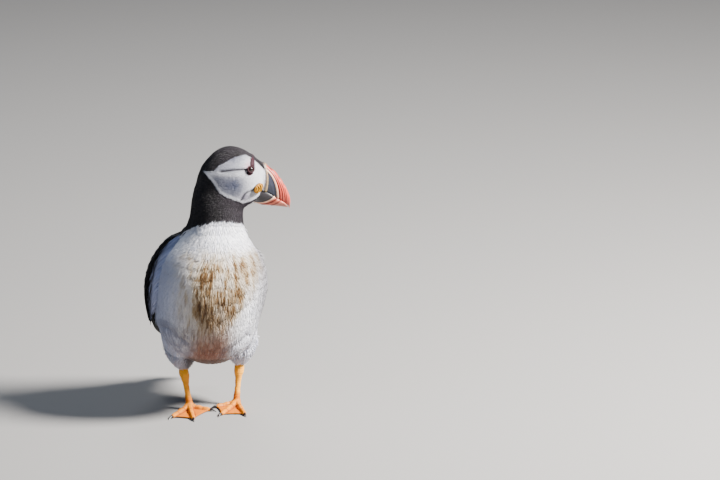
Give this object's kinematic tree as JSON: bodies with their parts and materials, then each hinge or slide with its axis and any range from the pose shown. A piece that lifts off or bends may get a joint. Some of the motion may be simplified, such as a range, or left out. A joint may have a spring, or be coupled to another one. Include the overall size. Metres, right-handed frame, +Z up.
{
  "type": "atlantic puffin",
  "caption": "Life-size still model of an Atlantic puffin standing on both webbed feet, with its head turned over its left shoulder.",
  "frame": {"origin": "on the floor, under the middle of the whole bird's box", "axes": "+Z up; the breast faces -Y, the bird's left is +X and the head is turned towards +X"},
  "size_m": [0.1246, 0.1564, 0.2415],
  "materials": {
    "black_plumage": "sooty black contour feathers, matt with a faint brown sheen",
    "white_plumage": "white breast and belly feathers, stained brown below the breast",
    "face_plumage": "short dense pale grey feathers, darker on the lower cheek",
    "bill_horn": "smooth horn with raised growth ridges, satin gloss",
    "bill_cere": "soft pale buff skin ridge with fine pits",
    "rosette": "soft puckered golden orange skin",
    "eye": "wet dark brown eye",
    "eye_ring": "dark red bare skin ring",
    "eye_plate": "slate grey horny skin",
    "foot_skin": "orange scaly skin, smooth webs",
    "claw": "black horn"
  },
  "bodies": {
    "root": {"head": "face_plumage", "neck": "black_plumage", "trunk": "white_plumage", "tail": "black_plumage", "bill_upper": "bill_horn", "bill_lower": "bill_horn", "bill_cere": "bill_cere", "wing_left": "black_plumage", "wing_tip_left": "black_plumage", "thigh_left": "white_plumage", "shank_left": "foot_skin", "foot_left": "foot_skin", "eye_left": "eye", "eye_ring_left": "eye_ring", "brow_plate_left": "eye_plate", "cheek_plate_left": "eye_plate", "rosette_left": "rosette", "claw_left_inner": "claw", "claw_left_middle": "claw", "claw_left_outer": "claw", "wing_right": "black_plumage", "wing_tip_right": "black_plumage", "thigh_right": "white_plumage", "shank_right": "foot_skin", "foot_right": "foot_skin", "eye_right": "eye", "eye_ring_right": "eye_ring", "brow_plate_right": "eye_plate", "cheek_plate_right": "eye_plate", "rosette_right": "rosette", "claw_right_inner": "claw", "claw_right_middle": "claw", "claw_right_outer": "claw"}
  },
  "joints": []
}
